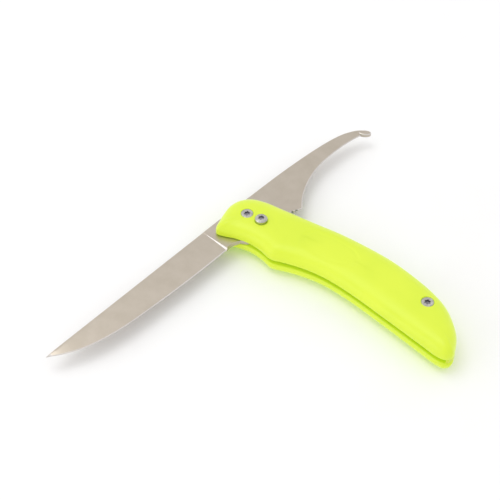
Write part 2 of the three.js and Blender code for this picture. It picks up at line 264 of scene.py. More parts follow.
def turned(centre: Vector, profile: Sequence[tuple[float, float]], sides: int = 64) -> bmesh.types.BMesh:
    """Turns a profile about an upright axis into a solid.

    Args:
        centre: where the axis stands.
        profile: pairs of radius and height, which start and end on the axis.
        sides: how many flats the round has.

    Returns:
        The closed solid.
    """
    bm = bmesh.new()
    line = [bm.verts.new((centre.x + radius, centre.y, height)) for radius, height in profile]
    edges = [bm.edges.new(pair) for pair in zip(line, line[1:])]
    bmesh.ops.spin(
        bm, geom=line + edges, cent=(centre.x, centre.y, 0), axis=(0, 0, 1), dvec=(0, 0, 0),
        angle=math.tau, steps=sides, use_merge=True, use_duplicate=False,
    )
    bmesh.ops.remove_doubles(bm, verts=bm.verts, dist=MERGE_DISTANCE)
    bmesh.ops.recalc_face_normals(bm, faces=bm.faces)
    return bm


def rod(centre: Vector, radius: float, bottom: float, top: float, sides: int = 64) -> bmesh.types.BMesh:
    """Makes a plain round rod that a hole is cut with."""
    return turned(centre, [(0, bottom), (radius, bottom), (radius, top), (0, top)], sides)


def plate(outline: Sequence[Vector], bottom: float, top: float) -> bmesh.types.BMesh:
    """Makes a flat plate of an outline between two heights."""
    return skin([[Vector((p.x, p.y, z)) for p in outline] for z in (bottom, top)])


def to_mesh(bm: bmesh.types.BMesh, name: str) -> bpy.types.Mesh:
    """Turns a working mesh into a stored one.

    Args:
        bm: the working mesh. It is freed.
        name: the stored mesh's name.

    Returns:
        The stored mesh.
    """
    mesh = bpy.data.meshes.new(name)
    bm.to_mesh(mesh)
    bm.free()
    return mesh


def new_object(name: str, data: bpy.types.ID) -> bpy.types.Object:
    """Makes an object of a mesh, a light or a camera and puts it in the scene."""
    made = bpy.data.objects.new(name, data)
    bpy.context.scene.collection.objects.link(made)
    return made


def combine(body: bmesh.types.BMesh, tool: bmesh.types.BMesh, how: Join) -> bmesh.types.BMesh:
    """Cuts one closed shape with another, or welds them.

    Args:
        body: the shape that stays. It is freed.
        tool: the shape that cuts or joins it. It is freed.
        how: cut or weld.

    Returns:
        A new mesh of the result.
    """
    helpers = [new_object("helper", to_mesh(bm, "helper")) for bm in (body, tool)]
    modifier = helpers[0].modifiers.new("combine", "BOOLEAN")
    modifier.object = helpers[1]
    modifier.operation = how.value
    modifier.solver = "EXACT"
    result = bmesh.new()
    result.from_object(helpers[0], bpy.context.evaluated_depsgraph_get())
    for helper in helpers:
        mesh = helper.data
        bpy.data.objects.remove(helper)
        bpy.data.meshes.remove(mesh)
    bmesh.ops.remove_doubles(result, verts=result.verts, dist=MERGE_DISTANCE)
    bmesh.ops.dissolve_degenerate(result, edges=result.edges, dist=MERGE_DISTANCE)
    return result


def mark_creases(bm: bmesh.types.BMesh, ground: bool) -> None:
    """Shades a mesh smooth, but keeps its corners crisp.

    Args:
        bm: the mesh.
        ground: True keeps the grind lines between nearly level faces crisp too.
    """
    for face in bm.faces:
        face.smooth = True
        face.material_index = 0
    for edge in bm.edges:
        if len(edge.link_faces) != 2:
            continue
        level = ground and all(abs(face.normal.z) > LEVEL for face in edge.link_faces)
        edge.smooth = edge.calc_face_angle(0.0) < (FACET_ANGLE if level else CREASE_ANGLE)


# ---- finishes ----


def linear(code: str) -> tuple[float, float, float, float]:
    """Turns an sRGB colour into the linear values that a shader takes.

    Args:
        code: the colour as a hex code, such as "#c0c0c0".

    Returns:
        Red, green, blue and a full alpha.
    """
    values = [int(code[i : i + 2], 16) / 255 for i in (1, 3, 5)]
    red, green, blue = (v / 12.92 if v <= 0.04045 else ((v + 0.055) / 1.055) ** 2.4 for v in values)
    return red, green, blue, 1.0


def add_node(
    tree: bpy.types.NodeTree, kind: str, settings: dict | None = None, links: dict | None = None
) -> bpy.types.Node:
    """Adds one shader node.

    Args:
        tree: the material's node tree.
        kind: Blender's type name for the node.
        settings: values by the name or number of an input, or by the name of a property.
        links: output sockets by the name or number of the input that each one feeds.

    Returns:
        The new node.
    """
    node = tree.nodes.new(kind)
    for name, value in (settings or {}).items():
        if isinstance(name, int) or name in node.inputs:
            node.inputs[name].default_value = value
        else:
            setattr(node, name, value)
    for name, socket in (links or {}).items():
        tree.links.new(socket, node.inputs[name])
    return node


def set_ramp(node: bpy.types.Node, stops: Sequence[tuple[float, str]]) -> None:
    """Gives a colour ramp its stops.

    Args:
        node: the colour ramp.
        stops: two pairs of a place and a hex colour.
    """
    for element, (place, code) in zip(node.color_ramp.elements, stops):
        element.position = place
        element.color = linear(code)


def empty_material(name: str) -> bpy.types.Material:
    """Makes a material with no nodes yet.

    Args:
        name: the material's name.

    Returns:
        The material, which uses nodes.
    """
    made = bpy.data.materials.new(name)
    made.use_nodes = True
    made.node_tree.nodes.clear()
    return made


@dataclass(frozen=True)
class MouldedPolymer:
    """Fluorescent moulded polymer with the satin of a spark-eroded mould.

    The dye's fluorescence is drawn as a painted glow, an emission that makes the colour look lit from
    inside and keeps it clean in the shade. The fine mould grain spreads each highlight into a soft, pale
    sheen.
    """

    name: str
    colour: str
    pale: str
    painted_glow_colour: str
    roughness: float = 0.42
    # strength of the painted glow, an emission though the part is no lamp
    painted_glow: float = 0.3
    sheen: float = 0.4
    spread: tuple[float, float] = (-0.05, 0.07)      # how the roughness varies
    grain_mm: float = 0.35
    grain_depth_mm: float = 0.04
    cloud_mm: float = 22.0
    soak_mm: float = 1.2             # how far light gets into the polymer

    def material(self) -> bpy.types.Material:
        """Builds the node material.

        Returns:
            The material: clouded colour, a grained satin surface, and a painted glow of its own.
        """
        made = empty_material(self.name)
        tree = made.node_tree
        place = add_node(tree, "ShaderNodeTexCoord").outputs["Object"]
        cloud = add_node(
            tree, "ShaderNodeTexNoise",
            {"Scale": 1 / (self.cloud_mm * MM), "Detail": 3.0, "Roughness": 0.55}, {"Vector": place},
        )
        tint = add_node(tree, "ShaderNodeValToRGB", links={"Fac": cloud.outputs["Fac"]})
        set_ramp(tint, [(0.36, self.colour), (0.66, self.pale)])
        grain = add_node(
            tree, "ShaderNodeTexNoise",
            {"Scale": 1 / (self.grain_mm * MM), "Detail": 2.0, "Roughness": 0.6}, {"Vector": place},
        )
        low, high = (self.roughness + step for step in self.spread)
        satin = add_node(
            tree, "ShaderNodeMapRange",
            {"From Min": 0.3, "From Max": 0.7, "To Min": low, "To Max": high},
            {"Value": cloud.outputs["Fac"]},
        )
        bump = add_node(
            tree, "ShaderNodeBump", {"Strength": 0.16, "Distance": self.grain_depth_mm * MM},
            {"Height": grain.outputs["Fac"]},
        )
        # The emission is a painted glow: it keeps the scales bright in their own shade and in the slot.
        shader = add_node(
            tree, "ShaderNodeBsdfPrincipled",
            {
                "IOR": 1.49, "Specular IOR Level": 0.78, "Emission Strength": self.painted_glow,
                "Emission Color": linear(self.painted_glow_colour), "Subsurface Weight": 0.12,
                "Subsurface Scale": self.soak_mm * MM, "Subsurface Radius": (1.0, 1.0, 0.35),
                "Sheen Weight": self.sheen, "Sheen Roughness": 0.35,
            },
            {
                "Base Color": tint.outputs["Color"], "Roughness": satin.outputs["Result"],
                "Normal": bump.outputs["Normal"],
            },
        )
        add_node(tree, "ShaderNodeOutputMaterial", links={"Surface": shader.outputs["BSDF"]})
        return made


@dataclass(frozen=True)
class Metal:
    """Bare metal with the fine lines of its last cut and faint clouding of its shine.

    Lines across a blade spread its reflections along it, lines round a head make a soft spark that
    turns with the light, and a tumbled part is evenly matt and mottled.
    """

    name: str
    colour: str
    shade: str
    roughness: float
    lay: Lay
    line_mm: float
    line_depth_mm: float = 0.004
    cloud_mm: float = 9.0
    centre: tuple[float, float] = (0.0, 0.0)         # of the rings that a lathe leaves
    spread: tuple[float, float] = (-0.05, 0.06)      # how the roughness varies

    def stretch(self) -> tuple[float, float, float]:
        """Gives by how much the pattern of lines is scaled along each axis."""
        if self.lay is Lay.ACROSS:
            return 0.035, 1.0, 0.035
        return 1.0, 1.0, 1.0

    def line_pattern(self, tree: bpy.types.NodeTree, place: bpy.types.NodeSocket) -> bpy.types.NodeSocket:
        """Adds the pattern of fine lines.

        Args:
            tree: the material's node tree.
            place: the Object coordinate.

        Returns:
            The socket that gives the lines' height.
        """
        if self.lay is Lay.ROUND:
            x, y = self.centre
            moved = add_node(
                tree, "ShaderNodeMapping", {"Location": (-x * MM, -y * MM, 0.0)}, {"Vector": place}
            )
            rings = add_node(
                tree, "ShaderNodeTexWave",
                {
                    "wave_type": "RINGS", "rings_direction": "Z", "Scale": WAVE_PITCH / (self.line_mm * MM),
                    "Distortion": 1.5, "Detail": 2.0, "Detail Scale": 1.5,
                },
                {"Vector": moved.outputs["Vector"]},
            )
            return rings.outputs["Fac"]
        moved = add_node(tree, "ShaderNodeMapping", {"Scale": self.stretch()}, {"Vector": place})
        lines = add_node(
            tree, "ShaderNodeTexNoise",
            {"Scale": 1 / (self.line_mm * MM), "Detail": 4.0, "Roughness": 0.65},
            {"Vector": moved.outputs["Vector"]},
        )
        return lines.outputs["Fac"]

    def material(self) -> bpy.types.Material:
        """Builds the node material.

        Returns:
            The material: clouded colour, and fine lines that change its height and its shine.
        """
        made = empty_material(self.name)
        tree = made.node_tree
        place = add_node(tree, "ShaderNodeTexCoord").outputs["Object"]
        height = self.line_pattern(tree, place)
        cloud = add_node(
            tree, "ShaderNodeTexNoise",
            {"Scale": 1 / (self.cloud_mm * MM), "Detail": 5.0, "Roughness": 0.6}, {"Vector": place},
        )
        tint = add_node(tree, "ShaderNodeValToRGB", links={"Fac": cloud.outputs["Fac"]})
        set_ramp(tint, [(0.35, self.shade), (0.65, self.colour)])
        low, high = (self.roughness + step for step in self.spread)
        satin = add_node(
            tree, "ShaderNodeMapRange", {"From Min": 0.3, "From Max": 0.7, "To Min": low, "To Max": high},
            {"Value": height},
        )
        bump = add_node(
            tree, "ShaderNodeBump", {"Strength": 0.35, "Distance": self.line_depth_mm * MM},
            {"Height": height},
        )
        shader = add_node(
            tree, "ShaderNodeBsdfPrincipled", {"Metallic": 1.0},
            {
                "Base Color": tint.outputs["Color"], "Roughness": satin.outputs["Result"],
                "Normal": bump.outputs["Normal"],
            },
        )
        add_node(tree, "ShaderNodeOutputMaterial", links={"Surface": shader.outputs["BSDF"]})
        return made


# Nylon dyed fluorescent lime: a clean yellow-green with a painted glow, so that it hardly darkens in
# the shade. The real mould grain is some 0.1 mm across, and is drawn coarser so that it shows.
LIME_SCALE = MouldedPolymer("fluorescent_nylon_satin_painted_glow", "#c4c61a", "#caca24", "#b2f924")
# The filler is the same nylon from a smoother mould, a little deeper in colour all over, with a weaker
# painted glow.
LIME_FILLER = MouldedPolymer(
    "fluorescent_nylon_filler_painted_glow", "#bfc01e", "#c6c628", "#b4f91e", roughness=0.5, painted_glow=0.2,
)
# Stainless blade steel, belt ground across: warm grey with a long soft sheen and no mirror. The real
# lines are some 0.05 mm apart, and are drawn coarser so that they show.
BLADE_STEEL = Metal("blade_stainless_belt_ground", "#c6bcaf", "#bfb5a7", 0.34, Lay.ACROSS, 0.16)
# The same steel where a fine stone has gone over it, smoother, and painted lighter as a highlight: a bright
# line along each edge, the plunge line and the nub's rim.
HONED_HIGHLIGHT_STEEL = Metal("blade_stainless_honed_painted_highlight", "#dcd7d3", "#d2cdc9", 0.28, Lay.ACROSS, 0.1)
# Turned stainless fasteners: pale grey, mottled by tumbling.
SCREW_STEEL = Metal("fastener_stainless_tumbled", "#d2cfca", "#a9a6a1", 0.3, Lay.TUMBLED, 0.3, 0.008, 1.6)
# Turned stainless button: a soft shine with faint rings from the lathe. The real rings are some
# 0.1 mm apart, and are drawn coarser so that they show.
BUTTON_STEEL = Metal(
    "button_stainless_turned", "#cfcdc8", "#aca9a4", 0.26, Lay.ROUND, 0.4354, 0.006, 2.5,
    tuple(centre_of("lock_button")),
)
# Cut walls of recesses and notches: a duller, matt grey, painted darker as the shade that falls into them.
PAINTED_SHADE_STEEL = Metal("cut_wall_stainless_painted_shade", "#b4b2b7", "#939197", 0.5, Lay.TUMBLED, 0.3)
# Stainless sheet, stamped and tumbled: flat grey and matt.
LINER_STEEL = Metal("liner_stainless_tumbled", "#b9b7b3", "#a3a19d", 0.42, Lay.TUMBLED, 0.4)
# Drawn music wire: a darker, slightly warm grey with a sharper shine.
SPRING_WIRE = Metal("spring_music_wire", "#8f8b86", "#76726d", 0.28, Lay.TUMBLED, 0.15)
# Rolled phosphor bronze: red-gold, dulled by lapping.
WASHER_BRONZE = Metal("washer_phosphor_bronze", "#c08d55", "#a87745", 0.36, Lay.TUMBLED, 0.25)


# ---- finished pieces ----


@dataclass(frozen=True)
class Inlay:
    """Second finish of a piece, on the faces that a test picks in millimetres."""

    finish: bpy.types.Material
    covers: Callable[[bmesh.types.BMFace], bool]


def finish_piece(
    bm: bmesh.types.BMesh, name: str, body: str, finish: bpy.types.Material, node: str,
    inlays: tuple[Inlay, ...] = (), ground: bool = False,
) -> bpy.types.Object:
    """Makes a finished object of a mesh in millimetres and ties it to the frame.

    Args:
        bm: the mesh. It is freed.
        name: the piece's name.
        body: the CAD body that it rides on.
        finish: its material.
        node: the CAD node that it stands for.
        inlays: further finishes for some of its faces. The first that covers a face wins.
        ground: True if it has grind lines that stay crisp.

    Returns:
        The object, at the origin, in metres.
    """
    bmesh.ops.recalc_face_normals(bm, faces=bm.faces)
    bm.normal_update()
    mark_creases(bm, ground)
    for face in bm.faces:
        face.material_index = next((i for i, inlay in enumerate(inlays, 1) if inlay.covers(face)), 0)
    bmesh.ops.transform(bm, matrix=Matrix.Scale(MM, 4), verts=bm.verts)
    mesh = to_mesh(bm, name)
    for material in (finish, *(inlay.finish for inlay in inlays)):
        mesh.materials.append(material)
    piece = new_object(name, mesh)
    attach(piece, body)
    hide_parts(node)
    LOG.info("%s: %d faces, on %s, for %s", name, len(mesh.polygons), body, node)
    return piece


@dataclass(frozen=True)
class HandleForm:
    """Shape that both scales share, seen as the upper one.

    The outline is drawn in towards a middle line, first over the edge's elliptical rounding and
    then over a slightly crowned face.
    """

    knots: tuple[tuple[float, float], ...] = (
        (-5.2, -14.7), (-2.6, -13.9), (3, -11), (9.5, -9), (16.5, -8.7), (23, -9.5), (29, -7),
        (37, -3.9), (47, -1.5), (60, -0.6), (82, -1.2), (103, -2.1), (111.5, -2.4),
        (115.3, -1.4), (117, 1.2), (115.8, 4.8), (112, 10.7), (105.7, 16.2), (99, 20.2),
        (90, 22.9), (78, 24.6), (65, 25.2), (52, 24.2), (38, 22.2), (23, 18.8), (8, 15.7),
        (-1, 13.7), (-7.2, 10.6), (-10.8, 5.7), (-11.6, 0.4), (-10.4, -4.8), (-8.6, -9.8),
        (-7.1, -13.3),
    )
    count: int = 320                 # points round the outline
    top: float = field(default_factory=lambda: top_of("upper_scale"))
    inner: float = field(default_factory=lambda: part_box("upper_scale")[0].z / MM)
    edge_break: float = 0.35         # radius at the slot's mouth
    break_steps: int = 5
    round_up: float = 6.2
    round_across: float = 7.6
    head_round: float = 9.0          # the rounding across, at the head
    head_round_end: float = 24.0
    belly_round: float = 10.5        # the rounding across, along the inside of the handle's curve
    belly: tuple[float, float, float, float] = (22.0, 40.0, 80.0, 108.0)
    round_power: float = 2.5         # above 2 the rounding runs out smoothly into the face
    round_steps: int = 16
    crown: float = 0.6
    crown_steps: int = 16
    crown_reach: float = 0.95        # how far towards the middle line the last loop comes
    pocket_inset: float = 2.9
    pocket_top: float = 11.7
    panel_centre: tuple[float, float] = (42.0, 9.5)
    panel_half: tuple[float, float] = (15.5, 7.6)
    panel_turn: float = math.radians(8)
    panel_depth: float = 0.32
    panel_rim: float = 0.86          # where the panel's slope starts, as a share of its half width
    panel_fade: tuple[float, float] = (1.6, 0.5)     # how far below the top the panel runs out
    middle: tuple[float, float] = (2.0, 101.0)       # where the middle line starts and ends along X
    middle_curve: tuple[float, float, float] = (0.5, 0.33, 0.0025)   # its start, slope and bend
    slant: float = 0.6               # a slanting draw counts for at least this share of its length
    farthest: float = 0.9            # the largest share of the way to the middle line

    def outline(self) -> list[Vector]:
        """Gives the handle's outline at its widest, counter-clockwise."""
        return evenly(spline(flat(self.knots), closed=True), self.count, closed=True)

    def middle_point(self, p: Vector) -> Vector:
        """Gives the point of the middle line that an outline point is drawn towards.

        Args:
            p: the outline point.

        Returns:
            The point with the same X, or the end of the line if p lies beyond it.
        """
        start, slope, bend = self.middle_curve
        x = min(max(p.x, self.middle[0]), self.middle[1])
        run = x - self.middle[0]
        return Vector((x, start + slope * run - bend * run * run))

    def shares(self, outline: Sequence[Vector], inset: Callable[[Vector], float]) -> list[float]:
        """Works out how far each outline point goes towards the middle line for an inset.

        Args:
            outline: the points.
            inset: gives the distance to go inwards from a point.

        Returns:
            For each point, its share of the way to the middle line.
        """
        result = []
        for i, p in enumerate(outline):
            along = (outline[(i + 1) % len(outline)] - outline[i - 1]).normalized()
            draw = self.middle_point(p) - p
            straight = draw.dot(Vector((-along.y, along.x)))
            result.append(min(inset(p) / max(straight, self.slant * draw.length), self.farthest))
        return result

    def across(self, p: Vector) -> float:
        """Gives how far across a scale the edge's rounding reaches.

        Args:
            p: the outline point that it starts from.

        Returns:
            The distance, which is longer at the head and along the belly.
        """
        reach = mix(self.head_round, self.round_across, smoothstep(p.x, 0.0, self.head_round_end))
        rise, full, fall, end = self.belly
        inside = p.y < self.middle_point(p).y
        belly = smoothstep(p.x, rise, full) * (1 - smoothstep(p.x, fall, end)) * inside
        return mix(reach, self.belly_round, belly)

    def panel(self, p: Vector) -> float:
        """Gives how deep the faint oval thumb panel is.

        Args:
            p: the point of the face.

        Returns:
            The depth there, which is 0 outside the oval.
        """
        run = Matrix.Rotation(-self.panel_turn, 2) @ (p.xy - Vector(self.panel_centre))
        reach = math.hypot(run.x / self.panel_half[0], run.y / self.panel_half[1])
        return self.panel_depth * (1 - smoothstep(reach, self.panel_rim, 1.0))

    def loops(self) -> list[list[Vector]]:
        """Gives the scale's loops.

        Returns:
            Loops of 3-D points, from the floor of the liner pocket, out round the slot's mouth and
            over the edge's rounding, to the middle of the face.
        """
        outline = self.outline()
        flush = [(self.pocket_inset, self.pocket_top), (self.pocket_inset, self.inner)]
        for i in range(self.break_steps + 1):
            a = math.pi / 2 * i / self.break_steps
            inset, rise = self.edge_break * (1 - math.sin(a)), self.edge_break * (1 - math.cos(a))
            flush.append((inset, self.inner + rise))
        loops = []
        for inset, height in flush:
            shares = self.shares(outline, lambda p, d=inset: d)
            loops.append([p.lerp(self.middle_point(p), share).to_3d() for p, share in zip(outline, shares)])
            for point in loops[-1]:
                point.z = height
        rise = self.round_up - self.crown
        for i in range(1, self.round_steps + 1):
            a = math.pi / 2 * i / self.round_steps
            bend = 1 - max(math.cos(a), 0.0) ** (2 / self.round_power)
            shares = self.shares(outline, lambda p, k=bend: self.across(p) * k)
            loops.append(self.face_loop(outline, shares, rise * (1 - math.sin(a) ** (2 / self.round_power))))
        start = self.shares(outline, self.across)
        for i in range(1, self.crown_steps + 1):
            t = self.crown_reach * i / self.crown_steps
            loops.append(self.face_loop(outline, [mix(share, 1.0, t) for share in start], 0.0))
        return loops

    def face_loop(self, outline: Sequence[Vector], shares: Sequence[float], drop: float) -> list[Vector]:
        """Gives one loop of the outer surface.

        Args:
            outline: the handle's outline.
            shares: how far each of its points goes towards the middle line.
            drop: how far the edge's rounding brings the loop down.

        Returns:
            The loop on the crowned face, less the rounding and the thumb panel.
        """
        low, high = (self.top - fade for fade in self.panel_fade)
        points = []
        for p, share in zip(outline, shares):
            q = p.lerp(self.middle_point(p), share)
            height = self.top - self.crown * (1 - share) ** 2 - drop
            sink = self.panel(q) * smoothstep(height, low, high)
            points.append(Vector((q.x, q.y, height - sink)))
        return points


@dataclass
class MouldedScale:
    """One moulded half of the handle."""

    side: Side
    form: HandleForm
    finish: bpy.types.Material
    gap: float = 0.1                 # round a screw head, and above a sunk one
    chamfer: float = 0.12
    barrel_radius: float = 2.8
    barrel_top: float = 12.6
    shank_radius: float = 1.6
    head_seat: float = 13.4
    flange_seat: tuple[float, float] = (4.3, 2.1)    # radius and floor of a barrel nut's seat
    spring_seat: tuple[float, float] = (3.0, 1.1)    # radius and floor of the spring's seat

    def screw_hole(self, node: str, sink: float) -> bmesh.types.BMesh:
        """Makes the tool for the stepped hole of a flush screw, with a broken edge at its mouth.

        Args:
            node: the screw's CAD node.
            sink: how far the mouth lies below the top of the scale.

        Returns:
            The tool.
        """
        head = radius_of(node) + self.gap
        mouth = self.form.top - sink
        low = self.form.pocket_top - OVERRUN
        seat = self.head_seat - sink
        profile = [
            (0, low), (self.barrel_radius, low), (self.barrel_radius, self.barrel_top),
            (self.shank_radius, self.barrel_top), (self.shank_radius, seat), (head, seat),
            (head, mouth - self.chamfer), (head + 2 * self.chamfer, mouth + self.chamfer),
            (head + 2 * self.chamfer, mouth + 2 * OVERRUN), (0, mouth + 2 * OVERRUN),
        ]
        return turned(centre_of(node), profile)

    def button_hole(self) -> bmesh.types.BMesh:
        """Makes the tool for the hole that the lock button travels in.

        Returns:
            The tool, with a wider and softer mouth than a screw's.
        """
        wide = radius_of("lock_button") + self.gap
        low = self.form.pocket_top - OVERRUN
        mouth = self.form.top
        profile = [
            (0, low), (wide, low), (wide, mouth - 2 * self.chamfer), (wide + 0.2, mouth - self.chamfer),
            (wide + 1, mouth + self.chamfer), (wide + 1, mouth + 2 * OVERRUN), (0, mouth + 2 * OVERRUN),
        ]
        return turned(centre_of("lock_button"), profile)

    def blind_seat(self, node: str, seat: tuple[float, float]) -> bmesh.types.BMesh:
        """Makes the tool for a blind round seat in the lower scale's inner face."""
        radius, floor = seat
        return rod(centre_of(node), radius, floor, self.form.top - self.form.pocket_top + OVERRUN)

    def build(self) -> bpy.types.Object:
        """Builds the scale and ties it to the handle.

        Returns:
            The scale.
        """
        bm = skin(self.form.loops())
        if self.side is Side.UPPER:
            sunk = self.form.top - top_of("rear_screw") - self.gap
            tools = [self.screw_hole("pivot_screw", 0.0), self.screw_hole("rear_screw", sunk)]
            tools.append(self.button_hole())
        else:
            bmesh.ops.scale(bm, vec=(1, 1, -1), verts=bm.verts)
            bmesh.ops.translate(bm, vec=(0, 0, self.form.top), verts=bm.verts)
            bmesh.ops.recalc_face_normals(bm, faces=bm.faces)
            tools = [self.blind_seat(node, self.flange_seat) for node in ("pivot_barrel", "rear_barrel")]
            tools.append(self.blind_seat("spring_seat", self.spring_seat))
        for tool in tools:
            bm = combine(bm, tool, Join.CUT)
        name = f"{self.side.value}_scale"
        return finish_piece(bm, f"{name}_moulding", "handle", self.finish, name)


@dataclass(frozen=True)
class Station:
    """One place along the double-ended steel, with the section's sizes there."""

    spine: Vector
    edge: Vector
    spine_half: float                # half thickness over the land at the spine
    edge_half: float                 # half thickness where the edge's small bevel starts
    rim_half: float                  # half thickness at the very edge
    land: float                      # width that stays level beside the spine
    bevel: float                     # width of the small bevel at the edge

    def section(self, mid: float, spine_break: float = 0.22) -> list[Vector]:
        """Gives the section's loop of ten points.

        Args:
            mid: the height of the middle of the steel.
            spine_break: how far the spine's corners are broken.

        Returns:
            The points, over the top from the spine to the edge and back underneath.
        """
        width = (self.edge - self.spine).length
        across = [0.0, spine_break / width, self.land / width, 1 - self.bevel / width, 1.0]
        back = self.spine_half
        half = [back - spine_break, back, back, self.edge_half, self.rim_half]
        upper = [(self.spine.lerp(self.edge, u), h) for u, h in zip(across, half)]
        lower = [(p, -h) for p, h in reversed(upper)]
        return [Vector((p.x, p.y, mid + h)) for p, h in upper + lower]


@dataclass
class DoubleBlade:
    """The one steel with a fillet blade, a ricasso, a hub round the pivot and a gutting blade."""

    finish: bpy.types.Material
    # painted shade on the walls of the jimping notches
    notch_painted_shade: bpy.types.Material
    # honed finish, painted lighter as a highlight along the bevels, the plunge line and the nub's rim
    honed_highlight_finish: bpy.types.Material
    half: float = 1.1
    rim_half: float = 0.03           # half thickness at the very edge
    bevel: float = 0.5               # width of the honed bevel
    bevel_share: float = 0.2         # the bevel's largest share of the blade's width
    bevel_rise: float = 0.42         # how steeply the bevel rises from the edge
    land_share: float = 0.3          # the largest share that the level land beside the spine takes
    fillet_count: int = 84           # sections along the fillet blade
    fillet_land: tuple[float, float] = (2.6, 1.0)    # width of the land at the root and at the tip
    fillet_back: tuple[float, float] = (1.06, 0.62)  # half thickness of the back, likewise
    fillet_tip: tuple[float, float] = (0.12, 0.16)   # the back's least, and its growth with the width
    fillet_edge_half: float = 0.24
    hub_land: float = 2.6
    hub_break: float = 0.2           # how far the corners of the ricasso and the hub are broken
    hub_steps: int = 22
    gut_counts: tuple[int, int] = (12, 72)           # sections along the heel and along the edge
    gut_land: float = 1.8
    gut_back: float = 0.72
    gut_edge_half: float = 0.2
    gut_thins: float = 0.75          # the share of the blade after which its back gets thinner
    gut_fine: int = 400              # points of the spine that the sections choose from
    fillet_spine: tuple = ((-10.85, -18.0), (-8.5, -114.3))
    fillet_edge: tuple = (
        (4.2, -18.0), (4.6, -40), (4.3, -62), (3.3, -82), (0.5, -97), (-3.6, -107), (-8.05, -113.7),
    )
    gut_spine: tuple = (
        (-11.3, 14), (-11.5, 32), (-11.1, 49), (-10.1, 64), (-8.2, 76), (-5.4, 83), (-3, 85.9),
    )
    gut_heel: tuple = ((9.25, 14), (9.5, 20), (11.4, 25.2))
    gut_edge: tuple = (
        (11.4, 25.2), (6, 32), (1.4, 41), (-1.9, 52), (-3, 65), (-2.5, 76), (-1.2, 83.6),
    )
    choil: tuple = ((4.2, -17.35), (3.9, -16.4), (3.7, -15.2), (3.8, -14), (4.1, -12.8))
    hub_spine: tuple[float, float, float] = (-11.35, 0.5, -17.9)     # X, its bow, and the start's Y
    hub_radius: float = 11.3
    hub_arc: tuple[float, float] = (-62, 18)
    jimping: tuple = ((9.65, 18.5), (9.85, 20.3), (10.45, 22.2))
    notch_radius: float = 0.62
    nub_centre: tuple[float, float] = (-0.9, 85.2)
    nub_half: tuple[float, float] = (3.1, 1.6)
    nub_turn: float = math.radians(38)
    nub_round: float = 0.5
    bore: float = 2.8
    cut: tuple[float, float] = (0.0, 16.0)           # heights between which the holes are cut
    pin_track: float = 1.7           # half the width of the lock pin's track
    lock_hole: float = 2.9
    swing: tuple[float, float] = (-85.5, 94.5)
    # the honed faces are painted lighter: a painted highlight on top of their smoother finish
    honed_highlight_slope: tuple[float, float] = (0.1, 0.955)  # rise of the normal of a honed face
    honed_highlight_from: float = 17.3         # how far from the pivot the honed faces begin
    heel_share: float = 4 / 28       # how much of the gutting spine lies beside the heel

    def fillet_stations(self) -> list[Station]:
        """Gives the sections of the fillet blade.

        Returns:
            The stations, from the tip to the plunge line.
        """
        count = self.fillet_count
        spine = evenly(flat(self.fillet_spine), count, closed=False)
        edge = evenly(spline(flat(self.fillet_edge), closed=False), count, closed=False)
        stations = []
        for i in reversed(range(count)):
            t = i / (count - 1)
            width = (edge[i] - spine[i]).length
            land = min(mix(*self.fillet_land, t), width * self.land_share)
            bevel = min(self.bevel, width * self.bevel_share)
            back = min(mix(*self.fillet_back, t), self.fillet_tip[0] + width * self.fillet_tip[1])
            edge_half = min(self.fillet_edge_half, self.rim_half + bevel * self.bevel_rise)
            stations.append(Station(spine[i], edge[i], back, edge_half, self.rim_half, land, bevel))
        return stations

    def hub_stations(self) -> list[Station]:
        """Gives the sections of the flat ricasso and hub.

        Returns:
            The stations, from the plunge line to the heel.
        """
        low, high = (math.radians(a) for a in self.hub_arc)
        edge = flat(self.choil)
        for i in range(self.hub_steps + 1):
            a = mix(low, high, i / self.hub_steps)
            edge.append(Vector((math.cos(a), math.sin(a))) * self.hub_radius)
        last = edge[-1]
        edge += [last.lerp(Vector(self.gut_heel[0]), share) for share in (0.33, 0.66)]
        start, end = edge[0].y, self.gut_heel[0][1]
        side, bow, spine_start = self.hub_spine
        rim_half = self.half - self.hub_break
        stations = []
        for p in edge:
            share = (p.y - start) / (end - start)
            spine = Vector((side + bow * (1 - share) ** 2, mix(spine_start, self.gut_spine[0][1], share)))
            stations.append(Station(spine, p, self.half, self.half, rim_half, self.hub_land, self.hub_break))
        return stations

    def gut_stations(self) -> list[Station]:
        """Gives the sections of the gutting blade.

        Returns:
            The stations, from the heel to the blunt nub.
        """
        heel_count, edge_count = self.gut_counts
        total = heel_count + edge_count
        edge = evenly(spline(flat(self.gut_heel), closed=False), heel_count, closed=False)
        edge += evenly(spline(flat(self.gut_edge), closed=False), edge_count + 1, closed=False)[1:]
        full = evenly(spline(flat(self.gut_spine), closed=False), self.gut_fine, closed=False)
        stations = []
        for i in range(total):
            if i < heel_count:
                share = self.heel_share * i / (heel_count - 1)
            else:
                share = mix(self.heel_share, 1.0, (i + 1 - heel_count) / edge_count)
            spine = full[round(share * (len(full) - 1))]
            ground = smoothstep(i, 2, heel_count)
            width = (edge[i] - spine).length
            back = mix(self.half, self.gut_back, smoothstep(i, self.gut_thins * total, total))
            edge_half = mix(self.half, self.gut_edge_half, ground)
            rim_half = mix(self.half - self.hub_break, self.rim_half, ground)
            land = min(self.gut_land, self.land_share * width)
            bevel = mix(self.hub_break, min(self.bevel, self.bevel_share * width), ground)
            stations.append(Station(spine, edge[i], back, edge_half, rim_half, land, bevel))
        return stations

